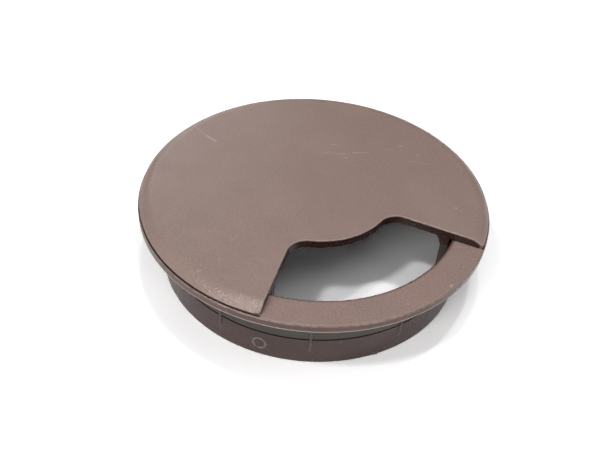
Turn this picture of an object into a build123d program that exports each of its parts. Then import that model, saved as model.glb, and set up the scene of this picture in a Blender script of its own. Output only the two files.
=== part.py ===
from build123d import *
import os
from math import asin, degrees

# A round desk cable grommet in two moulded pieces: a flanged ring that drops into a round hole
# in a desk top, and a cap that lies on the flange, turns or lifts out by hand, and leaves a
# wave-shaped notch for the cables.
# Millimetres. The origin is on the ring's axis at the bottom of its skirt, +Z is up, and the
# cable notch opens towards -Y.

# Ring
flange_radius = 45.0
flange_thickness = 2.2
flange_top = 19.0
skirt_radius = 39.5
bore_radius = 36.6
lip_round = 1.5
flange_top_bevel = 0.4
flange_bottom_bevel = 0.3
skirt_outer_bevel = 0.3
skirt_inner_bevel = 0.5
flange_bottom = flange_top - flange_thickness

# Score line round the skirt
score_height = 8.05
score_width = 0.5
score_depth = 0.35

# Crush ribs that grip the wall of the desk hole
rib_count = 11
rib_width = 0.6
rib_proud = 0.22
rib_foot = 3.9
rib_lead_in = 1.4
rib_root = 0.5
rib_first_angle = -83.0

# Small moulded details on the skirt
mark_angle = -133.3
mark_height = 4.05
mark_outer_radius = 1.85
mark_line = 0.5
mark_proud = 0.12
gate_angle = -92.0
gate_width = 1.2
gate_height = 0.9
gate_proud = 0.22
detail_root = 0.6

# Cap
cap_thickness = 2.2
cap_radius = 44.6
cap_fall_width = 3.6
cap_fall_depth = 1.6
cap_under_bevel = 0.3
cap_top = flange_top + cap_thickness

# Cable notch in the cap
notch_half_angle = 41.0
notch_inner_radius = 20.0
notch_corner_radius = 5.0
notch_edge_bevel = 0.3
steepest_top_edge = 0.9

# Plug rim under the cap, with the bead that snaps into a groove in the bore
plug_outer_radius = 36.2
plug_inner_radius = 34.2
plug_depth = 10.0
plug_foot_bevel = 0.4
bead_height = 10.6
bead_half_width = 0.9
bead_half_crest = 0.3
bead_reach = 0.75
groove_clearance = 0.3
plug_foot = flange_top - plug_depth

# Gussets between the cap and the plug rim
gusset_count = 8
gusset_thickness = 1.2
gusset_reach = 1.0
gusset_drop = 2.8
gusset_root = 0.4

# Far enough past the part for a cutting tool
past_part = 20.0


def eased(outline, operation, corners):
    """The outline with a fillet or chamfer of the given amount at each named corner."""
    for corner, amount in corners:
        outline = operation(outline.vertices().sort_by_distance((*corner, 0))[0], amount)
    return outline


def revolved(outline):
    """Turn a profile drawn as (radius, height) about the ring's axis."""
    return revolve(Plane.XZ * outline, Axis.Z)


def on_axis(angle):
    """The place for something drawn along +X that belongs at this angle round the axis."""
    return Rot(0, 0, angle)


def bead_section(foot_radius, clearance):
    """The snap bead's points from its lower end up, or its groove's where a clearance is given."""
    crest_radius = plug_outer_radius + bead_reach + clearance
    return [
        (foot_radius, bead_height - bead_half_width - clearance),
        (crest_radius, bead_height - bead_half_crest - clearance),
        (crest_radius, bead_height + bead_half_crest + clearance),
        (foot_radius, bead_height + bead_half_width + clearance),
    ]


def score_section():
    """The V of the score line in the skirt's outer face."""
    return [
        (skirt_radius, score_height + score_width / 2),
        (skirt_radius - score_depth, score_height),
        (skirt_radius, score_height - score_width / 2),
    ]


def ring_body():
    """Flange and skirt as one profile, turned about the axis."""
    points = [
        (bore_radius, 0),
        *bead_section(bore_radius, groove_clearance),
        (bore_radius, flange_top),
        (flange_radius, flange_top),
        (flange_radius, flange_bottom),
        (skirt_radius, flange_bottom),
        *score_section(),
        (skirt_radius, 0),
    ]
    bevels = [
        ((bore_radius, 0), skirt_inner_bevel),
        ((flange_radius, flange_top), flange_top_bevel),
        ((flange_radius, flange_bottom), flange_bottom_bevel),
        ((skirt_radius, 0), skirt_outer_bevel),
    ]
    outline = eased(Polygon(*points, align=None), chamfer, bevels)
    return revolved(eased(outline, fillet, [((bore_radius, flange_top), lip_round)]))


def crush_rib():
    """One rib along +X: full height to the flange, running out to nothing at its foot."""
    side = Polygon(
        (skirt_radius - rib_root, flange_bottom),
        (skirt_radius + rib_proud, flange_bottom),
        (skirt_radius + rib_proud, rib_foot + rib_lead_in),
        (skirt_radius, rib_foot),
        (skirt_radius - rib_root, rib_foot),
        align=None,
    )
    return extrude(Plane.XZ * side, rib_width / 2, both=True)


def moulded_mark():
    """A plain raised circle on the skirt, along +X."""
    circle = Circle(mark_outer_radius) - Circle(mark_outer_radius - mark_line)
    tube = extrude(Plane((skirt_radius - detail_root, 0, mark_height), z_dir=(1, 0, 0)) * circle, past_part)
    sleeve = Cylinder(skirt_radius + mark_proud, flange_bottom, align=(Align.CENTER, Align.CENTER, Align.MIN))
    return tube & sleeve


def gate_stub():
    """The trimmed stub where the plastic entered the mould, at the skirt's foot along +X."""
    length = detail_root + gate_proud
    middle = skirt_radius - detail_root + length / 2
    return Pos(middle, 0, skirt_outer_bevel + gate_height / 2) * Box(length, gate_width, gate_height)


def base_ring():
    """The flanged ring with its ribs and moulded details."""
    ring = ring_body()
    for number in range(rib_count):
        ring += on_axis(rib_first_angle + number * 360 / rib_count) * crush_rib()
    ring += on_axis(mark_angle) * moulded_mark()
    ring += on_axis(gate_angle) * gate_stub()
    return ring


def cap_outline():
    """The cap's section: flat top, an edge that falls on a large arc, and the plug rim below."""
    fall_radius = (cap_fall_width**2 + cap_fall_depth**2) / (2 * cap_fall_depth)
    fall_angle = degrees(asin(cap_fall_width / fall_radius))
    fall_start = cap_radius - cap_fall_width
    edge = [
        Polyline((0, flange_top), (0, cap_top), (fall_start, cap_top)),
        CenterArc((fall_start, cap_top - fall_radius), fall_radius, 90, -fall_angle),
        Polyline(
            (cap_radius, cap_top - cap_fall_depth),
            (cap_radius, flange_top),
            (plug_outer_radius, flange_top),
            *reversed(bead_section(plug_outer_radius, 0)),
            (plug_outer_radius, plug_foot),
            (plug_inner_radius, plug_foot),
            (plug_inner_radius, flange_top),
            (0, flange_top),
        ),
    ]
    bevels = [
        ((cap_radius, flange_top), cap_under_bevel),
        ((plug_outer_radius, plug_foot), plug_foot_bevel),
        ((plug_inner_radius, plug_foot), plug_foot_bevel),
    ]
    return eased(make_face(edge), chamfer, bevels)


def notch_outline():
    """A sector of the cap, open at the rim, with rounded inner corners beside a round bulge."""
    reach = cap_radius + past_part
    edges = [Vector(reach, 0).rotate(Axis.Z, side * notch_half_angle - 90) for side in (-1, 1)]
    wedge = make_face(Polyline((0, 0), edges[0], edges[1], (0, 0)))
    sector = wedge & (Circle(reach) - Circle(notch_inner_radius))
    inner_corners = sector.vertices().sort_by_distance((0, 0, 0))[:2]
    return fillet(inner_corners, notch_corner_radius)


def gusset():
    """One triangular web along +X, between the underside of the cap and the plug rim."""
    side = Polygon(
        (plug_inner_radius + gusset_root, flange_top + gusset_root),
        (plug_inner_radius - gusset_reach, flange_top + gusset_root),
        (plug_inner_radius - gusset_reach, flange_top),
        (plug_inner_radius, flange_top - gusset_drop),
        (plug_inner_radius + gusset_root, flange_top - gusset_drop),
        align=None,
    )
    return extrude(Plane.XZ * side, gusset_thickness / 2, both=True)


def notch_top_edges(body):
    """The upper edges of the notch, along the flat top and down the falling edge."""
    return [
        edge
        for edge in body.edges()
        if edge.center().Z > cap_top - cap_fall_depth
        and edge.length < cap_radius
        and abs(edge.tangent_at(0.5).Z) < steepest_top_edge
    ]


def cap():
    """The cap with its plug rim, gussets and notch."""
    body = revolved(cap_outline())
    end_inset = degrees(gusset_thickness / 2 / plug_inner_radius)
    first = notch_half_angle - 90 + end_inset
    step = (360 - 2 * (notch_half_angle + end_inset)) / (gusset_count - 1)
    for number in range(gusset_count):
        body += on_axis(first + step * number) * gusset()
    body -= extrude(notch_outline(), past_part + cap_top, both=True)
    return chamfer(notch_top_edges(body), notch_edge_bevel)


os.makedirs("parts", exist_ok=True)
export_step(base_ring(), "parts/base_ring.step")
export_step(cap(), "parts/cap.step")
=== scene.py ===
from collections import namedtuple
from math import acos, asin, cos, degrees, hypot, pi, radians, sin, tan

import bmesh
import bpy
from mathutils import Matrix, Vector

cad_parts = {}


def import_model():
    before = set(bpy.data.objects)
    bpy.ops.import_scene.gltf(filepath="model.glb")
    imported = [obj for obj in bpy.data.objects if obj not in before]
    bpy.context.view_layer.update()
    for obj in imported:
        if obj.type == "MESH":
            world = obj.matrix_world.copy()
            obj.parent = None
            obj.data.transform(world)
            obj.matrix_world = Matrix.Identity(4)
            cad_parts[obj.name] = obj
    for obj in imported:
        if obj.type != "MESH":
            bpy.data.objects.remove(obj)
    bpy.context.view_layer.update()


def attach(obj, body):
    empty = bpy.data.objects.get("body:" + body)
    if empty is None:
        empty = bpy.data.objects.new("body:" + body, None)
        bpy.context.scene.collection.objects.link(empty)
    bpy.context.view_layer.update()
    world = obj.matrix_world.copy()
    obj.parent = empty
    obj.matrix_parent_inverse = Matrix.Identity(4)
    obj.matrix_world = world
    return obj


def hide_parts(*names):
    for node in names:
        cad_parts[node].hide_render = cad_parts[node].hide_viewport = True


# A round desk cable grommet: a flanged ring moulding, and a cap moulding with a wave-shaped notch.
# Sizes are in millimetres until a piece is finished, and MM brings them to metres. The origin is on
# the axis at the skirt's bottom, +Z is up, and the notch opens towards -Y.
MM = 0.001

# Two places are taken as the same within this many millimetres
TOLERANCE = 0.001

# Ring
FLANGE_RADIUS = 45.0
FLANGE_BOTTOM = 16.8
FLANGE_TOP = 19.0
SKIRT_RADIUS = 39.5
BORE_RADIUS = 36.6
LIP_ROUND = 1.5
FLANGE_TOP_ROUND = 0.4
FLANGE_BOTTOM_ROUND = 0.3
SKIRT_ROOT_ROUND = 0.25
SKIRT_FOOT_ROUND = 0.3
BORE_FOOT_ROUND = 0.5

# Snap bead on the cap's plug rim, and its groove in the bore
BEAD_HEIGHT = 10.6
BEAD_REACH = 0.75
BEAD_HALF_WIDTH = 0.9
BEAD_HALF_CREST = 0.3
GROOVE_DEPTH = 0.65
GROOVE_HALF_WIDTH = 1.2
GROOVE_HALF_FLOOR = 0.6

# Score line round the skirt
SCORE_HEIGHT = 8.05
SCORE_WIDTH = 0.46
SCORE_FLOOR = 0.34
SCORE_DEPTH = 0.38

# Crush ribs on the skirt
RIB_COUNT = 11
RIB_FIRST_ANGLE = -83.0
RIB_WIDTH = 0.64
RIB_DRAFT = 0.08
RIB_PROUD = 0.27
RIB_FOOT = 3.9
RIB_LEAD_IN = 1.4

# Small moulded details on the skirt
MARK_ANGLE = -133.3
MARK_HEIGHT = 4.05
MARK_RADIUS = 1.6
MARK_LINE = 0.5
MARK_PROUD = 0.12
MARK_SIDES = 48
GATE_ANGLE = -92.0
GATE_WIDTH = 1.2
GATE_BOTTOM = 0.3
GATE_TOP = 1.2
GATE_PROUD = 0.22
GATE_ROUND = 0.15
DETAIL_ROOT = 0.6

# Cap
CAP_TOP = 21.2
CAP_RADIUS = 44.6
CAP_FALL_WIDTH = 3.6
CAP_FALL_DEPTH = 1.6
CAP_UNDERCUT_WIDTH = 1.3
CAP_UNDERCUT_HEIGHT = 0.40
NOTCH_HALF_ANGLE = 41.0
NOTCH_MOUTH_ROUND = 0.8
NOTCH_INNER_RADIUS = 20.0
NOTCH_CORNER_RADIUS = 5.0
NOTCH_EDGE_ROUND = 0.3
PLUG_OUTER_RADIUS = 36.2
PLUG_INNER_RADIUS = 34.2
PLUG_FOOT = 9.0
PLUG_FOOT_ROUND = 0.4

# Gussets between the cap and its plug rim
GUSSET_COUNT = 8
GUSSET_THICKNESS = 1.2
GUSSET_REACH = 1.0
GUSSET_DROP = 2.8
GUSSET_ROOT = 0.4

# The end gussets stand in from the notch's edges by this share of half their thickness, so that
# the notch trims their outer faces
GUSSET_INSET = 0.95

# Far enough past the part for a cutting shape
PAST_PART = 30.0

# How finely round forms are divided
COLUMN_ANGLE = 1.0
NOTCH_GAP_ANGLE = 1.5
CORNER_STEPS = 5
FALL_STEPS = 14
NOTCH_CORNER_STEPS = 16
NOTCH_BULGE_STEPS = 40
EDGE_ROUND_STEPS = 4
ROUND_PROFILE = 0.5
SHARP_ANGLE = 40.0

# A face is grained where it looks up at least this much and lies above this height. The cap's
# falling edge looks up just enough.
GRAIN_LEAN = 0.6
GRAIN_LOWEST = 17.2

# The notch's upper edges lie between a wall and a face that looks up
WALL_LEAN = 0.25
FALL_LEAN = 0.5

# A face narrower than this, beside an edge that bends more than this, catches wear and a painted
# highlight. What stands proud of the skirt catches a little of both.
WORN_AND_LIT_WIDTH = 0.26
WORN_AND_LIT_BEND = 12.0
PROUD_WEAR_AND_HIGHLIGHT = 0.2

# Camera, at the photograph's viewing angle
CAMERA_TARGET = (-8.46, -9.29, 19.0)
CAMERA_DISTANCE = 197.7
CAMERA_AZIMUTH = -117.4
CAMERA_ELEVATION = 41.23
CAMERA_ROLL = 4.09
CAMERA_LENS = 48.0
CAMERA_SENSOR = 36.0
CAMERA_NEAREST = 10.0

# The floor reaches this far each way from the axis
FLOOR_REACH = 500.0

# Softboxes: azimuth, elevation, the angle that each one fills, and its level
SOFTBOX_DISTANCE = 1500.0
SOFTBOXES = {
    "overhead_right": (6, 81, 4, 0.14),
    "overhead_back": (60, 84, 4, 0.10),
    "overhead_wide": (0, 90, 70, 0.21),
    "left_key": (191, 61, 6, 0.225),
    "front_high": (300, 60, 30, 0.045),
    "front_left": (228, 45, 40, 0.11),
    "left_low": (202, 20, 24, 0.37),
    "front_right_low": (280, 20, 24, 0.19),
    "right_low": (335, 30, 30, 0.13),
    "back_low": (80, 20, 24, 0.09),
}
WORLD_LEVEL = 0.01

# Colours, as linear light
# The grained tops' browns are partly painted light: much lighter than the walls for the light that
# falls on them, besides their matte grain
CAP_BROWN = (0.322, 0.230, 0.200)
RING_BROWN = (0.312, 0.216, 0.187)
# The walls' browns are painted shade: darker copies of the same plastic, the skirt under the flange
# darker than the flange's edge and the cap's rim
WALL_BROWN = (0.125, 0.062, 0.051)
# Painted shade: the notch's walls and the hollows under the cap, darkest of all
NOTCH_SHADE_BROWN = (0.034, 0.011, 0.008)
SKIRT_BROWN = (0.076, 0.046, 0.042)
# Painted shade and sheen: the skirt above the score line, under the flange, greyer and darker
SKIRT_GREY = (0.058, 0.047, 0.038)
DARK_BROWN = (0.036, 0.026, 0.024)
# Wear, specks and scratches, and also painted glints and painted highlights on rounded edges
WORN_AND_LIT_BROWN = (0.62, 0.54, 0.50)
# Painted shade, in the joint under the cap's rim, at the foot of the notch's walls and in the score
# line
PAINTED_SHADE = (0.012, 0.009, 0.008)
WHITE = (1.0, 1.0, 1.0)
FLOOR_WHITE = (0.90, 0.90, 0.90)
FLOOR_SEEN = (1.50, 1.50, 1.50)

# A fade turns a value between start and end into one between at_start and at_end, and holds it
# beyond them. Noise has a size, which is how many millimetres its lumps are across, and a detail.
# A pattern is noise with a fade of its value.
Fade = namedtuple("Fade", "start end at_start at_end")
Noise = namedtuple("Noise", "size detail")
Pattern = namedtuple("Pattern", "noise fade")

# The grained tops: haze a little darker than the brown, dark pits and light glints
HAZE_SHADE = 0.94
HAZE = Pattern(Noise(14.0, 4), Fade(0.35, 0.65, 0.0, 1.0))
PITS = Pattern(Noise(0.34, 2), Fade(0.30, 0.52, 0.10, 0.0))
CAP_GLINTS = Pattern(Noise(0.26, 1), Fade(0.55, 0.75, 0.0, 0.14))
RING_GLINTS = Pattern(Noise(0.26, 1), Fade(0.55, 0.75, 0.0, 0.40))
GRAIN = Noise(0.40, 1)
FINE_GRAIN = Noise(0.14, 1)
FINE_GRAIN_SHARE = 0.18
GRAIN_DEPTH = 0.12
GRAIN_ROUGHNESS = Pattern(Noise(0.6, 2), Fade(0.3, 0.7, 0.12, 0.24))

# The smooth walls: clouds of a darker brown, and shallow waves, long upwards, with a ripple on them
CLOUDS = Pattern(Noise(7.0, 4), Fade(0.35, 0.65, 0.0, 0.25))
WAVES = Noise(4.0, 0)
WAVE_SHORTENING = (1.0, 1.0, 0.1)
RIPPLE = Noise(0.35, 2)
RIPPLE_SHARE = 0.7
WAVE_DEPTH = 0.004
SMOOTH_ROUGHNESS = Pattern(Noise(3.0, 3), Fade(0.3, 0.7, 0.20, 0.28))

# Where the smooth walls change colour and painted shade, by height, and by radius above the skirt
ABOVE_SCORE = Fade(SCORE_HEIGHT - 0.3, SCORE_HEIGHT + 0.3, 0.0, 1.0)
ABOVE_SKIRT = Fade(FLANGE_BOTTOM - 0.2, FLANGE_BOTTOM, 0.0, 1.0)
AT_RIM = Fade(CAP_RADIUS - 1.2, CAP_RADIUS - 0.1, 0.0, 1.0)

# The flange's top has painted shade at its outer edge and on the lip of the bore
OUTER_SHADE = Fade(CAP_RADIUS, FLANGE_RADIUS - 0.1, 0.0, 0.6)
LIP_SHADE = Fade(BORE_RADIUS + 0.3, BORE_RADIUS + LIP_ROUND, 0.9, 0.0)
HIGHEST_ON_FLANGE = FLANGE_TOP + 0.1

# Wear, with painted highlights on rounded edges and on what stands proud, comes in patches,
# and lightens the grained tops less than the smooth walls
WEAR_AND_HIGHLIGHT_PATCHES = Pattern(Noise(1.4, 3), Fade(0.3, 0.65, 0.25, 1.0))
TOP_WEAR_AND_HIGHLIGHT = 0.15
WALL_WEAR_AND_HIGHLIGHT = 0.30
# Wear and a painted reflection of the floor along the flange's lower edge
LOW_EDGE_WEAR_AND_REFLECTION = Fade(FLANGE_BOTTOM + 0.3, FLANGE_BOTTOM + 0.5, 0.6, 0.0)

# Light specks on the tops, one in each of this share of the cells of a grid
SPECK_CELL = 3.0
SPECK_SIZE = 0.22
SPECK_SHARE = 0.12
SPECK_LIGHTNESS = 0.45

# Painted shade: by distance from the cap's rim in the joint, by distance from the score line, and
# by height at the foot of the notch's walls
JOINT_REACH = 0.22
JOINT_SHADE = Fade(JOINT_REACH / 2, JOINT_REACH, 1.0, 0.0)
SCORE_SHADE = Fade(SCORE_WIDTH / 2, SCORE_WIDTH * 0.7, 0.35, 0.0)
FOOT_SHADE = Fade(FLANGE_TOP + 0.2, FLANGE_TOP + 0.45, 1.0, 0.0)
LOWEST_FOOT_SHADE = FLANGE_TOP - 0.05

# Scratches on the two tops: start and end seen from above, width, and how light each one is. The
# pattern leaves gaps along them.
SCRATCH_GAPS = Pattern(Noise(0.6, 2), Fade(0.3, 0.6, 0.35, 1.0))
CAP_SCRATCHES = [
    ((-19.4, 36.6), (-18.3, 32.3), 0.35, 0.15),
    ((-18.1, 31.6), (-16.6, 28.3), 0.55, 0.50),
    ((12.6, 15.9), (13.8, 15.3), 0.30, 0.40),
    ((8.7, 13.4), (14.0, 10.5), 0.28, 0.35),
    ((16.4, 10.4), (20.5, 8.8), 0.30, 0.42),
    ((12.9, 9.3), (13.9, 8.8), 0.28, 0.35),
    ((29.8, 8.5), (30.5, 8.3), 0.40, 0.50),
    ((32.4, 3.1), (32.6, 2.9), 0.40, 0.60),
    ((28.8, 1.6), (33.3, -1.6), 0.25, 0.32),
    ((29.9, -19.9), (30.0, -20.0), 0.45, 0.65),
    ((-37.9, -17.6), (-37.1, -17.4), 0.28, 0.55),
    ((-27.3, -10.8), (-24.7, -9.5), 0.22, 0.22),
    ((-23.2, -18.8), (-22.4, -20.5), 0.22, 0.22),
]
RING_SCRATCHES = [
    ((15.1, -41.3), (15.6, -41.2), 0.55, 0.45),
    ((2.9, -42.4), (3.0, -42.6), 0.35, 0.40),
]

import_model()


def on_circle(radius, angle):
    """The point at this radius and angle, in degrees, round the origin."""
    return radius * cos(radians(angle)), radius * sin(radians(angle))


def arc(centre, radius, first, last, steps):
    """Points from one angle to another, in degrees, on an arc."""
    points = []
    for step in range(steps + 1):
        x, y = on_circle(radius, first + (last - first) * step / steps)
        points.append((centre[0] + x, centre[1] + y))
    return points


def rounded_corner(before, corner, after, amount):
    """The points that round one corner of an outline, from the side before to the side after."""
    corner = Vector(corner)
    back = (Vector(before) - corner).normalized()
    ahead = (Vector(after) - corner).normalized()
    half = acos(back.dot(ahead)) / 2
    centre = corner + (back + ahead).normalized() * (amount / sin(half))
    reach = amount * cos(half) / sin(half)
    first = corner + back * reach - centre
    last = corner + ahead * reach - centre
    return [
        tuple(centre + first.slerp(last, step / CORNER_STEPS) * amount)
        for step in range(CORNER_STEPS + 1)
    ]


def rounded_outline(corners):
    """A closed outline from (x, y, round) corners."""
    outline = []
    for index, (x, y, amount) in enumerate(corners):
        if amount:
            before = corners[index - 1][:2]
            after = corners[(index + 1) % len(corners)][:2]
            outline += rounded_corner(before, (x, y), after, amount)
        else:
            outline.append((x, y))
    return outline


def bead_corners(foot_radius, reach, half_width, half_crest):
    """The snap bead's or groove's corners from its upper end down, on a foot of the given radius."""
    crest = foot_radius + reach
    return [
        (foot_radius, BEAD_HEIGHT + half_width, 0),
        (crest, BEAD_HEIGHT + half_crest, 0),
        (crest, BEAD_HEIGHT - half_crest, 0),
        (foot_radius, BEAD_HEIGHT - half_width, 0),
    ]


def new_piece(name, vertices, faces):
    """A mesh object from vertices in millimetres, which it keeps until it is finished."""
    mesh = bpy.data.meshes.new(name)
    mesh.from_pydata(vertices, [], faces)
    shape = bmesh.new()
    shape.from_mesh(mesh)
    bmesh.ops.recalc_face_normals(shape, faces=shape.faces)
    shape.to_mesh(mesh)
    shape.free()
    piece = bpy.data.objects.new(name, mesh)
    bpy.context.scene.collection.objects.link(piece)
    return piece


def prism(name, outline, place, low, high):
    """A closed prism over an outline, whose points place(x, y, level) puts in space."""
    count = len(outline)
    vertices = [place(x, y, level) for level in (low, high) for x, y in outline]
    sides = [(i, (i + 1) % count, (i + 1) % count + count, i + count) for i in range(count)]
    ends = [tuple(range(count)), tuple(range(count, 2 * count))]
    return new_piece(name, vertices, sides + ends)


def combine(piece, tool, operation):
    """Join the tool to the piece, or cut it from the piece, and remove the tool."""
    modifier = piece.modifiers.new(operation, "BOOLEAN")
    modifier.operation = operation
    modifier.solver = "EXACT"
    modifier.object = tool
    depsgraph = bpy.context.evaluated_depsgraph_get()
    piece_mesh = bpy.data.meshes.new_from_object(piece.evaluated_get(depsgraph))
    piece.modifiers.clear()
    piece.data = piece_mesh
    bpy.data.objects.remove(tool)


def strips(columns, rows, closed_section):
    """Quads between neighbouring columns, all the way round the axis."""
    faces = []
    for column in range(columns):
        here = column * rows
        there = (column + 1) % columns * rows
        for row in range(rows if closed_section else rows - 1):
            up = (row + 1) % rows
            faces.append((here + row, there + row, there + up, here + up))
    return faces


def ring_profile():
    """The ring's section as a closed list of (radius, height)."""
    groove = bead_corners(BORE_RADIUS, GROOVE_DEPTH, GROOVE_HALF_WIDTH, GROOVE_HALF_FLOOR)
    return rounded_outline([
        (BORE_RADIUS, 0, BORE_FOOT_ROUND),
        *reversed(groove),
        (BORE_RADIUS, FLANGE_TOP, LIP_ROUND),
        (FLANGE_RADIUS, FLANGE_TOP, FLANGE_TOP_ROUND),
        (FLANGE_RADIUS, FLANGE_BOTTOM, FLANGE_BOTTOM_ROUND),
        (SKIRT_RADIUS, FLANGE_BOTTOM, SKIRT_ROOT_ROUND),
        (SKIRT_RADIUS, SCORE_HEIGHT + SCORE_WIDTH / 2, 0),
        (SKIRT_RADIUS - SCORE_DEPTH, SCORE_HEIGHT + SCORE_FLOOR / 2, 0),
        (SKIRT_RADIUS - SCORE_DEPTH, SCORE_HEIGHT - SCORE_FLOOR / 2, 0),
        (SKIRT_RADIUS, SCORE_HEIGHT - SCORE_WIDTH / 2, 0),
        (SKIRT_RADIUS, RIB_FOOT + RIB_LEAD_IN, 0),
        (SKIRT_RADIUS, RIB_FOOT, 0),
        (SKIRT_RADIUS, 0, SKIRT_FOOT_ROUND),
    ])


def rib_radius(radius, height):
    """Where a point of the section lies on a rib's crest."""
    on_skirt = radius > SKIRT_RADIUS - SCORE_DEPTH - TOLERANCE and RIB_FOOT <= height < FLANGE_BOTTOM
    if not on_skirt:
        return radius
    share = min(1, (height - RIB_FOOT) / RIB_LEAD_IN)
    return max(radius, SKIRT_RADIUS + RIB_PROUD * share)


def ring_columns():
    """(angle, is on a rib's crest) of each column of the ring's mesh."""
    pitch = 360 / RIB_COUNT
    crest = degrees(RIB_WIDTH / 2 / SKIRT_RADIUS)
    foot = degrees((RIB_WIDTH / 2 + RIB_DRAFT) / SKIRT_RADIUS)
    plain = pitch - 2 * foot
    steps = round(plain / COLUMN_ANGLE)
    columns = []
    for rib in range(RIB_COUNT):
        middle = RIB_FIRST_ANGLE + rib * pitch
        columns += [(middle - crest, True), (middle + crest, True)]
        columns += [(middle + foot + plain * step / steps, False) for step in range(steps + 1)]
    return columns


def moulded_mark():
    """A plain raised circle, wrapped onto the skirt."""
    half = MARK_LINE / 2
    section = [
        (MARK_RADIUS - half, -DETAIL_ROOT),
        (MARK_RADIUS - half, MARK_PROUD / 2),
        (MARK_RADIUS - half / 2, MARK_PROUD),
        (MARK_RADIUS + half / 2, MARK_PROUD),
        (MARK_RADIUS + half, MARK_PROUD / 2),
        (MARK_RADIUS + half, -DETAIL_ROOT),
    ]
    vertices = []
    for side in range(MARK_SIDES):
        for radius, proud in section:
            along, up = on_circle(radius, 360 * side / MARK_SIDES)
            angle = MARK_ANGLE + degrees(along / SKIRT_RADIUS)
            vertices.append((*on_circle(SKIRT_RADIUS + proud, angle), MARK_HEIGHT + up))
    return new_piece("mark", vertices, strips(MARK_SIDES, len(section), True))


def gate_stub():
    """The trimmed stub where the plastic entered the mould, with softened corners."""
    outline = rounded_outline([
        (-GATE_WIDTH / 2, GATE_BOTTOM, GATE_ROUND),
        (GATE_WIDTH / 2, GATE_BOTTOM, GATE_ROUND),
        (GATE_WIDTH / 2, GATE_TOP, GATE_ROUND),
        (-GATE_WIDTH / 2, GATE_TOP, GATE_ROUND),
    ])

    def on_skirt(along, up, level):
        return (*on_circle(SKIRT_RADIUS + level, GATE_ANGLE + degrees(along / SKIRT_RADIUS)), up)

    return prism("gate", outline, on_skirt, -DETAIL_ROOT, GATE_PROUD)


def ring_moulding():
    """The flanged ring, turned column by column with its ribs in the same surface."""
    profile = ring_profile()
    columns = ring_columns()
    vertices = []
    for angle, on_rib in columns:
        for radius, height in profile:
            reach = rib_radius(radius, height) if on_rib else radius
            vertices.append((*on_circle(reach, angle), height))
    ring = new_piece("ring_moulding", vertices, strips(len(columns), len(profile), True))
    combine(ring, moulded_mark(), "UNION")
    combine(ring, gate_stub(), "UNION")
    return ring


def cap_profile():
    """The cap's section, from its falling edge round to the inner wall of its plug rim."""
    fall_radius = (CAP_FALL_WIDTH**2 + CAP_FALL_DEPTH**2) / (2 * CAP_FALL_DEPTH)
    fall_angle = degrees(asin(CAP_FALL_WIDTH / fall_radius))
    fall_start = CAP_RADIUS - CAP_FALL_WIDTH
    fall = arc((fall_start, CAP_TOP - fall_radius), fall_radius, 90, 90 - fall_angle, FALL_STEPS)
    outline = rounded_outline([
        (0, FLANGE_TOP, 0),
        (0, CAP_TOP, 0),
        *((x, y, 0) for x, y in fall),
        (CAP_RADIUS, FLANGE_TOP + CAP_UNDERCUT_HEIGHT, 0),
        (CAP_RADIUS - CAP_UNDERCUT_WIDTH, FLANGE_TOP, 0),
        (PLUG_OUTER_RADIUS, FLANGE_TOP, 0),
        *bead_corners(PLUG_OUTER_RADIUS, BEAD_REACH, BEAD_HALF_WIDTH, BEAD_HALF_CREST),
        (PLUG_OUTER_RADIUS, PLUG_FOOT, PLUG_FOOT_ROUND),
        (PLUG_INNER_RADIUS, PLUG_FOOT, PLUG_FOOT_ROUND),
        (PLUG_INNER_RADIUS, FLANGE_TOP, 0),
    ])
    return outline[2:]


def cap_columns():
    """Angles of the cap's columns, with none close to the notch's two straight edges."""
    back = 360 - 2 * (NOTCH_HALF_ANGLE + NOTCH_GAP_ANGLE)
    front = 2 * (NOTCH_HALF_ANGLE - NOTCH_GAP_ANGLE)
    columns = []
    for first, width in ((-90 + NOTCH_HALF_ANGLE + NOTCH_GAP_ANGLE, back), (-90 - front / 2, front)):
        steps = round(width / COLUMN_ANGLE)
        columns += [first + width * step / steps for step in range(steps + 1)]
    return columns


def notch_outline():
    """The notch from above: a sector open at the rim, with a bulge between two round corners."""
    reach = CAP_RADIUS + PAST_PART
    corner_distance = NOTCH_INNER_RADIUS + NOTCH_CORNER_RADIUS
    corner_inset = degrees(asin(NOTCH_CORNER_RADIUS / corner_distance))
    edge = NOTCH_HALF_ANGLE - 90
    middle = edge - corner_inset
    centre = on_circle(corner_distance, middle)
    corner = arc(centre, NOTCH_CORNER_RADIUS, edge + 90, middle + 180, NOTCH_CORNER_STEPS)
    bulge = arc((0, 0), NOTCH_INNER_RADIUS, middle, -180 - middle, NOTCH_BULGE_STEPS)
    mouth_distance = CAP_RADIUS - NOTCH_MOUTH_ROUND
    mouth_edge = edge + degrees(asin(NOTCH_MOUTH_ROUND / mouth_distance))
    mouth_centre = on_circle(mouth_distance, mouth_edge)
    mouth = arc(mouth_centre, NOTCH_MOUTH_ROUND, mouth_edge, edge - 90, CORNER_STEPS)
    half = [on_circle(reach, mouth_edge), *mouth, *corner]
    mirrored = [(-x, y) for x, y in reversed(half)]
    return half + bulge[1:-1] + mirrored


def gusset(angle):
    """One triangular web between the underside of the cap and the plug rim."""
    outline = [
        (PLUG_INNER_RADIUS + GUSSET_ROOT, FLANGE_TOP + GUSSET_ROOT),
        (PLUG_INNER_RADIUS - GUSSET_REACH, FLANGE_TOP + GUSSET_ROOT),
        (PLUG_INNER_RADIUS - GUSSET_REACH, FLANGE_TOP),
        (PLUG_INNER_RADIUS, FLANGE_TOP - GUSSET_DROP),
        (PLUG_INNER_RADIUS + GUSSET_ROOT, FLANGE_TOP - GUSSET_DROP),
    ]
    along, across = Vector(on_circle(1, angle)), Vector(on_circle(1, angle + 90))

    def upright(radius, height, level):
        return (*(along * radius + across * level), height)

    return prism("gusset", outline, upright, -GUSSET_THICKNESS / 2, GUSSET_THICKNESS / 2)


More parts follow.
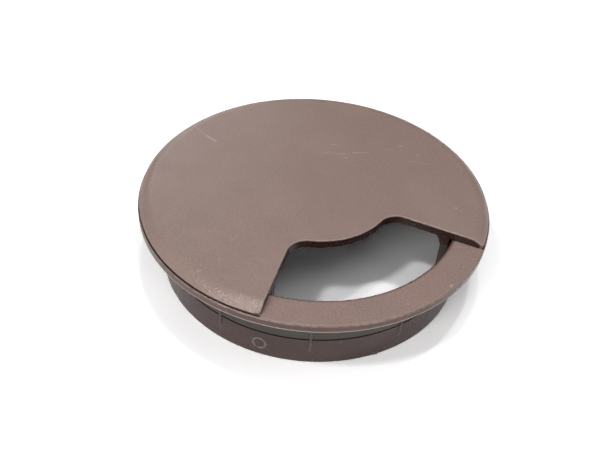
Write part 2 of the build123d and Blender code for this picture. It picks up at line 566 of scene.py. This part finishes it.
def round_notch_edges(cap):
    """Round the upper edges of the notch, on the flat top and down the falling edge."""
    shape = bmesh.new()
    shape.from_mesh(cap.data)
    edges = []
    for edge in shape.edges:
        leans = sorted(abs(face.normal.z) for face in edge.link_faces)
        at_rim = all(hypot(*vertex.co.xy) > CAP_RADIUS - TOLERANCE for vertex in edge.verts)
        high = all(vertex.co.z > CAP_TOP - CAP_FALL_DEPTH - TOLERANCE for vertex in edge.verts)
        if high and not at_rim and leans[0] < WALL_LEAN and leans[-1] > FALL_LEAN:
            edges.append(edge)
    bmesh.ops.bevel(
        shape,
        geom=edges,
        offset=NOTCH_EDGE_ROUND,
        offset_type="OFFSET",
        segments=EDGE_ROUND_STEPS,
        profile=ROUND_PROFILE,
        affect="EDGES",
        clamp_overlap=False,
    )
    shape.to_mesh(cap.data)
    shape.free()


def cap_moulding():
    """The cap: a turned plate and plug rim with gussets, cut by the notch."""
    profile = cap_profile()
    columns = cap_columns()
    rows = len(profile)
    vertices = [(*on_circle(radius, angle), height) for angle in columns for radius, height in profile]
    faces = strips(len(columns), rows, False)
    faces.append(tuple(column * rows for column in range(len(columns))))
    faces.append(tuple(column * rows + rows - 1 for column in range(len(columns))))
    cap = new_piece("cap_moulding", vertices, faces)
    end_inset = degrees(GUSSET_THICKNESS / 2 * GUSSET_INSET / PLUG_INNER_RADIUS)
    first = NOTCH_HALF_ANGLE - 90 + end_inset
    step = (360 - 2 * (NOTCH_HALF_ANGLE + end_inset)) / (GUSSET_COUNT - 1)
    for number in range(GUSSET_COUNT):
        combine(cap, gusset(first + step * number), "UNION")

    def upright(x, y, level):
        return x, y, level

    combine(cap, prism("notch", notch_outline(), upright, -PAST_PART, PAST_PART), "DIFFERENCE")
    round_notch_edges(cap)
    return cap


def wear_and_highlight_faces(mesh):
    """Mark the narrow faces that round a convex edge, for wear and painted highlights, and faintly
    what stands proud of the skirt.
    """
    shape = bmesh.new()
    shape.from_mesh(mesh)
    wear_and_highlight = []
    for face in shape.faces:
        longest = max(edge.calc_length() for edge in face.edges)
        bends = [edge.calc_face_angle_signed(0) for edge in face.edges]
        narrow = face.calc_area() < WORN_AND_LIT_WIDTH * longest and max(bends) > radians(WORN_AND_LIT_BEND)
        centre = face.calc_center_median()
        below_flange = centre.z < FLANGE_BOTTOM - TOLERANCE
        if narrow:
            wear_and_highlight.append(1.0)
        elif below_flange and hypot(*centre.xy) > SKIRT_RADIUS + MARK_PROUD / 2:
            wear_and_highlight.append(PROUD_WEAR_AND_HIGHLIGHT)
        else:
            wear_and_highlight.append(0.0)
    shape.free()
    mesh.attributes.new("wear_and_highlight", "FLOAT", "FACE").data.foreach_set("value", wear_and_highlight)


def finish_piece(piece, node, grained, smooth):
    """Give a piece its wear, painted highlights and materials, bring it to metres and put it in its
    node's place.
    """
    mesh = piece.data
    wear_and_highlight_faces(mesh)
    mesh.materials.clear()
    mesh.materials.append(grained)
    mesh.materials.append(smooth)
    for face in mesh.polygons:
        on_top = face.normal.z > GRAIN_LEAN and face.center.z > GRAIN_LOWEST
        face.material_index = 0 if on_top else 1
        face.use_smooth = True
    mesh.transform(Matrix.Scale(MM, 4))
    mesh.set_sharp_from_angle(angle=radians(SHARP_ANGLE))
    weighted = piece.modifiers.new("weighted", "WEIGHTED_NORMAL")
    weighted.keep_sharp = True
    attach(piece, "root")
    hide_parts(node)


def new_material(name):
    """A material with a Principled shader, its node tree and that shader."""
    material = bpy.data.materials.new(name)
    material.use_nodes = True
    tree = material.node_tree
    return material, tree, tree.nodes["Principled BSDF"]


def calculated(tree, operation, first, second=0.0):
    """The output of a math node, from outputs or plain numbers."""
    node = tree.nodes.new("ShaderNodeMath")
    node.operation = operation
    for socket, value in zip(node.inputs, (first, second)):
        if isinstance(value, (int, float)):
            socket.default_value = value
        else:
            tree.links.new(value, socket)
    return node.outputs["Value"]


def product(tree, first, *others):
    """The product of outputs and plain numbers."""
    result = first
    for factor in others:
        result = calculated(tree, "MULTIPLY", result, factor)
    return result


def vector_math(tree, operation, first, second=(0.0, 0.0, 0.0)):
    """A vector math node, from outputs or plain vectors."""
    node = tree.nodes.new("ShaderNodeVectorMath")
    node.operation = operation
    for socket, value in zip(node.inputs, (first, second)):
        if isinstance(value, tuple):
            socket.default_value = value
        else:
            tree.links.new(value, socket)
    return node


def place_in_millimetres(tree):
    """The point's place in the object's own frame."""
    place = tree.nodes.new("ShaderNodeTexCoord").outputs["Object"]
    return vector_math(tree, "MULTIPLY", place, (1 / MM, 1 / MM, 1 / MM)).outputs["Vector"]


def coordinate(tree, place, axis):
    """A place's X, Y or Z."""
    parts = tree.nodes.new("ShaderNodeSeparateXYZ")
    tree.links.new(place, parts.inputs["Vector"])
    return parts.outputs[axis]


def axis_radius(tree, place):
    """How far a place is from the axis."""
    level = vector_math(tree, "MULTIPLY", place, (1.0, 1.0, 0.0)).outputs["Vector"]
    return vector_math(tree, "LENGTH", level).outputs["Value"]


def distance_from(tree, value, number):
    """How far a value is from a number, on either side."""
    return calculated(tree, "ABSOLUTE", calculated(tree, "SUBTRACT", value, number))


def faded(tree, value, fade):
    """The value taken smoothly through a fade."""
    node = tree.nodes.new("ShaderNodeMapRange")
    node.interpolation_type = "SMOOTHSTEP"
    for name, number in zip(("From Min", "From Max", "To Min", "To Max"), fade):
        node.inputs[name].default_value = number
    tree.links.new(value, node.inputs["Value"])
    return node.outputs["Result"]


def noisy(tree, place, noise):
    """The noise's value at a place."""
    node = tree.nodes.new("ShaderNodeTexNoise")
    node.inputs["Scale"].default_value = 1 / noise.size
    node.inputs["Detail"].default_value = noise.detail
    tree.links.new(place, node.inputs["Vector"])
    return node.outputs["Fac"]


def patterned(tree, place, pattern):
    """The pattern's value at a place."""
    return faded(tree, noisy(tree, place, pattern.noise), pattern.fade)


def blended(tree, share, first, second):
    """A colour between two others, each a colour or an output."""
    node = tree.nodes.new("ShaderNodeMix")
    node.data_type = "RGBA"
    tree.links.new(share, node.inputs["Factor"])
    for name, colour in (("A", first), ("B", second)):
        socket = next(s for s in node.inputs if s.name == name and s.type == "RGBA")
        if isinstance(colour, tuple):
            socket.default_value = (*colour, 1)
        else:
            tree.links.new(colour, socket)
    return next(s for s in node.outputs if s.type == "RGBA")


def bumped(tree, height, depth):
    """The surface normal with this height on it, whose full range is a depth in millimetres."""
    node = tree.nodes.new("ShaderNodeBump")
    node.inputs["Distance"].default_value = depth * MM
    tree.links.new(height, node.inputs["Height"])
    return node.outputs["Normal"]


def joint_shade(tree, place):
    """One in the joint between the cap's rim and the flange, where painted shade darkens it, outside
    the notch.
    """
    height = coordinate(tree, place, "Z")
    radius = axis_radius(tree, place)
    rim_edge = CAP_TOP - CAP_FALL_DEPTH
    beside = faded(tree, distance_from(tree, radius, CAP_RADIUS), JOINT_SHADE)
    below = faded(tree, height, Fade(rim_edge - JOINT_REACH, rim_edge, 1.0, 0.0))
    above = faded(tree, height, Fade(FLANGE_TOP - JOINT_REACH, FLANGE_TOP, 0.0, 1.0))
    backward = calculated(tree, "DIVIDE", coordinate(tree, place, "Y"), radius)
    covered = calculated(tree, "GREATER_THAN", backward, -cos(radians(NOTCH_HALF_ANGLE)))
    return product(tree, beside, below, above, covered)


def scratch_share(tree, place, level, start, end, width):
    """One over a scratch at this level and nothing beyond it, from the distance to its line."""
    start, end = Vector((*start, level)), Vector((*end, level))
    along = (end - start).normalized()
    offset = vector_math(tree, "SUBTRACT", place, tuple(start)).outputs["Vector"]
    reach = vector_math(tree, "DOT_PRODUCT", offset, tuple(along)).outputs["Value"]
    held = calculated(tree, "MINIMUM", calculated(tree, "MAXIMUM", reach, 0.0), (end - start).length)
    foot = tree.nodes.new("ShaderNodeVectorMath")
    foot.operation = "SCALE"
    foot.inputs[0].default_value = along
    tree.links.new(held, foot.inputs["Scale"])
    gap = vector_math(tree, "DISTANCE", offset, foot.outputs["Vector"]).outputs["Value"]
    return faded(tree, gap, Fade(0.0, width, 1.0, 0.0))


def specks(tree, place):
    """Small round specks, in only some cells of a grid."""
    cells = tree.nodes.new("ShaderNodeTexVoronoi")
    cells.inputs["Scale"].default_value = 1 / SPECK_CELL
    tree.links.new(place, cells.inputs["Vector"])
    near = faded(tree, cells.outputs["Distance"], Fade(0.0, SPECK_SIZE / SPECK_CELL, 1.0, 0.0))
    colours = tree.nodes.new("ShaderNodeSeparateColor")
    tree.links.new(cells.outputs["Color"], colours.inputs["Color"])
    chosen = calculated(tree, "LESS_THAN", colours.outputs["Red"], SPECK_SHARE)
    return product(tree, near, chosen)


def wear_and_highlight_share(tree, place, strength):
    """How far wear and painted highlights lighten a place, where it was marked and in uneven patches.
    """
    marked = tree.nodes.new("ShaderNodeAttribute")
    marked.attribute_name = "wear_and_highlight"
    return product(tree, marked.outputs["Fac"], patterned(tree, place, WEAR_AND_HIGHLIGHT_PATCHES), strength)


def scratched(tree, place, level, scratches):
    """How light the scratches at this level are at a place, with gaps along them."""
    gaps = patterned(tree, place, SCRATCH_GAPS)
    result = 0.0
    for start, end, width, lightness in scratches:
        share = scratch_share(tree, place, level, start, end, width)
        result = calculated(tree, "MAXIMUM", result, product(tree, share, lightness, gaps))
    return result


def flange_edge_shade(tree, place):
    """How far painted shade darkens the flange's top, at its outer edge and on the lip of the bore."""
    radius = axis_radius(tree, place)
    outer = faded(tree, radius, OUTER_SHADE)
    lip = faded(tree, radius, LIP_SHADE)
    edges = calculated(tree, "MAXIMUM", outer, lip)
    on_flange = calculated(tree, "LESS_THAN", coordinate(tree, place, "Z"), HIGHEST_ON_FLANGE)
    return product(tree, edges, on_flange)


def grained_plastic(name, brown, glints, level, scratches):
    """A moulding's grained top at this level, with haze, pits, glints, specks, scratches, wear with
    painted highlights, and painted shade.
    """
    material, tree, shader = new_material(name)
    place = place_in_millimetres(tree)
    darker = tuple(HAZE_SHADE * part for part in brown)
    colour = blended(tree, patterned(tree, place, HAZE), darker, brown)
    colour = blended(tree, patterned(tree, place, PITS), colour, DARK_BROWN)
    colour = blended(tree, patterned(tree, place, glints), colour, WORN_AND_LIT_BROWN)
    wear_and_highlight = product(tree, specks(tree, place), SPECK_LIGHTNESS)
    # Wear, and painted highlights on the rounded edges
    wear_and_highlight = calculated(tree, "MAXIMUM", wear_and_highlight, wear_and_highlight_share(tree, place, TOP_WEAR_AND_HIGHLIGHT))
    wear_and_highlight = calculated(tree, "MAXIMUM", wear_and_highlight, scratched(tree, place, level, scratches))
    colour = blended(tree, wear_and_highlight, colour, WORN_AND_LIT_BROWN)
    # Painted shade at the flange's outer edge and on the lip of the bore
    colour = blended(tree, flange_edge_shade(tree, place), colour, WALL_BROWN)
    # Painted shade in the joint under the cap's rim
    colour = blended(tree, joint_shade(tree, place), colour, PAINTED_SHADE)
    fine = product(tree, noisy(tree, place, FINE_GRAIN), FINE_GRAIN_SHARE)
    grain = calculated(tree, "ADD", noisy(tree, place, GRAIN), fine)
    tree.links.new(colour, shader.inputs["Base Color"])
    tree.links.new(patterned(tree, place, GRAIN_ROUGHNESS), shader.inputs["Roughness"])
    tree.links.new(bumped(tree, grain, GRAIN_DEPTH), shader.inputs["Normal"])
    return material


def wall_brown(tree, height, radius):
    """The walls' brown, with painted shade: below the score line, above it, and above the skirt, where
    it is darkest inside the rim.
    """
    skirt = blended(tree, faded(tree, height, ABOVE_SCORE), SKIRT_BROWN, SKIRT_GREY)
    above = blended(tree, faded(tree, radius, AT_RIM), NOTCH_SHADE_BROWN, WALL_BROWN)
    return blended(tree, faded(tree, height, ABOVE_SKIRT), skirt, above)


def foot_shade(tree, height, radius):
    """One at the foot of the notch's walls, where they stand on the flange, as painted shade."""
    outside_bore = calculated(tree, "GREATER_THAN", radius, BORE_RADIUS)
    on_flange = calculated(tree, "GREATER_THAN", height, LOWEST_FOOT_SHADE)
    return product(tree, faded(tree, height, FOOT_SHADE), outside_bore, on_flange)


def low_edge_wear_and_reflection(tree, height, radius):
    """How far wear and a painted reflection of the floor lighten the lower edge of the flange's outer
    wall.
    """
    above_skirt = faded(tree, height, ABOVE_SKIRT)
    at_rim = faded(tree, radius, AT_RIM)
    return product(tree, faded(tree, height, LOW_EDGE_WEAR_AND_REFLECTION), above_skirt, at_rim)


def smooth_plastic():
    """The smooth walls and skirt, with clouds, wear with painted highlights, painted shade and the
    long waves of the moulding.
    """
    material, tree, shader = new_material("smooth_plastic")
    place = place_in_millimetres(tree)
    height = coordinate(tree, place, "Z")
    radius = axis_radius(tree, place)
    # The walls' brown carries painted shade, darkest inside the notch and greyer above the score line
    colour = wall_brown(tree, height, radius)
    colour = blended(tree, patterned(tree, place, CLOUDS), colour, DARK_BROWN)
    # Wear, and painted highlights on rounded edges and on what stands proud
    colour = blended(tree, wear_and_highlight_share(tree, place, WALL_WEAR_AND_HIGHLIGHT), colour, WORN_AND_LIT_BROWN)
    # Wear and a painted reflection of the floor on the flange's lower edge
    colour = blended(tree, low_edge_wear_and_reflection(tree, height, radius), colour, WORN_AND_LIT_BROWN)
    # Painted shade at the foot of the notch's walls
    colour = blended(tree, foot_shade(tree, height, radius), colour, PAINTED_SHADE)
    # Painted shade in the joint under the cap's rim
    colour = blended(tree, joint_shade(tree, place), colour, PAINTED_SHADE)
    # Painted shade in the score line
    score_shade = faded(tree, distance_from(tree, height, SCORE_HEIGHT), SCORE_SHADE)
    colour = blended(tree, score_shade, colour, PAINTED_SHADE)
    shortened = vector_math(tree, "MULTIPLY", place, WAVE_SHORTENING).outputs["Vector"]
    ripple = product(tree, noisy(tree, place, RIPPLE), RIPPLE_SHARE)
    waves = calculated(tree, "ADD", noisy(tree, shortened, WAVES), ripple)
    tree.links.new(colour, shader.inputs["Base Color"])
    tree.links.new(patterned(tree, place, SMOOTH_ROUGHNESS), shader.inputs["Roughness"])
    tree.links.new(bumped(tree, waves, WAVE_DEPTH), shader.inputs["Normal"])
    return material


def floor():
    """A plain pale floor, whose white the camera sees as bright as the photograph's."""
    corners = [(-FLOOR_REACH, -FLOOR_REACH), (FLOOR_REACH, -FLOOR_REACH)]
    corners += [(-x, -y) for x, y in corners]
    plane = new_piece("floor", [(x, y, 0) for x, y in corners], [(0, 1, 2, 3)])
    plane.data.transform(Matrix.Scale(MM, 4))
    material, tree, shader = new_material("floor_white")
    seen = tree.nodes.new("ShaderNodeLightPath").outputs["Is Camera Ray"]
    tree.links.new(blended(tree, seen, FLOOR_WHITE, FLOOR_SEEN), shader.inputs["Base Color"])
    shader.inputs["Roughness"].default_value = 1.0
    shader.inputs["Specular IOR Level"].default_value = 0.0
    plane.data.materials.append(material)


def direction(azimuth, elevation):
    """The unit vector that points at this azimuth and elevation, in degrees."""
    x, y = on_circle(cos(radians(elevation)), azimuth)
    return Vector((x, y, sin(radians(elevation))))


def softbox(name, azimuth, elevation, spread, level):
    """A round lamp that faces the object. A white surface facing it alone renders at its level."""
    lamp = bpy.data.lights.new(name, "AREA")
    lamp.shape = "DISK"
    lamp.size = 2 * SOFTBOX_DISTANCE * MM * tan(radians(spread / 2))
    lamp.energy = level * (pi * SOFTBOX_DISTANCE * MM) ** 2
    placed = bpy.data.objects.new(name, lamp)
    placed.location = direction(azimuth, elevation) * SOFTBOX_DISTANCE * MM
    placed.rotation_euler = direction(azimuth, elevation).to_track_quat("Z", "Y").to_euler()
    bpy.context.scene.collection.objects.link(placed)


def world(level):
    """Plain light from all round, and plain white behind the floor for the camera."""
    surroundings = bpy.data.worlds.new("surroundings")
    bpy.context.scene.world = surroundings
    surroundings.use_nodes = True
    tree = surroundings.node_tree
    sky = tree.nodes["Background"]
    sky.inputs["Color"].default_value = (*WHITE, 1)
    sky.inputs["Strength"].default_value = level
    behind = tree.nodes.new("ShaderNodeBackground")
    behind.inputs["Color"].default_value = (*WHITE, 1)
    path = tree.nodes.new("ShaderNodeLightPath")
    choose = tree.nodes.new("ShaderNodeMixShader")
    tree.links.new(path.outputs["Is Camera Ray"], choose.inputs["Fac"])
    tree.links.new(sky.outputs["Background"], choose.inputs[1])
    tree.links.new(behind.outputs["Background"], choose.inputs[2])
    tree.links.new(choose.outputs["Shader"], tree.nodes["World Output"].inputs["Surface"])


def camera():
    """The photograph's point of view."""
    lens = bpy.data.cameras.new("camera")
    lens.sensor_fit = "HORIZONTAL"
    lens.sensor_width = CAMERA_SENSOR
    lens.lens = CAMERA_LENS
    lens.clip_start = CAMERA_NEAREST * MM
    placed = bpy.data.objects.new("camera", lens)
    towards = direction(CAMERA_AZIMUTH, CAMERA_ELEVATION)
    turn = towards.to_track_quat("Z", "Y").to_matrix() @ Matrix.Rotation(radians(CAMERA_ROLL), 3, "Z")
    placed.rotation_euler = turn.to_euler()
    placed.location = (Vector(CAMERA_TARGET) + towards * CAMERA_DISTANCE) * MM
    bpy.context.scene.collection.objects.link(placed)
    bpy.context.scene.camera = placed


smooth = smooth_plastic()
grained_ring = grained_plastic("grained_ring", RING_BROWN, RING_GLINTS, FLANGE_TOP, RING_SCRATCHES)
grained_cap = grained_plastic("grained_cap", CAP_BROWN, CAP_GLINTS, CAP_TOP, CAP_SCRATCHES)
finish_piece(ring_moulding(), "base_ring", grained_ring, smooth)
finish_piece(cap_moulding(), "cap", grained_cap, smooth)
floor()
for lamp_name, setting in SOFTBOXES.items():
    softbox(lamp_name, *setting)
world(WORLD_LEVEL)
camera()
bpy.context.scene.view_settings.view_transform = "Standard"
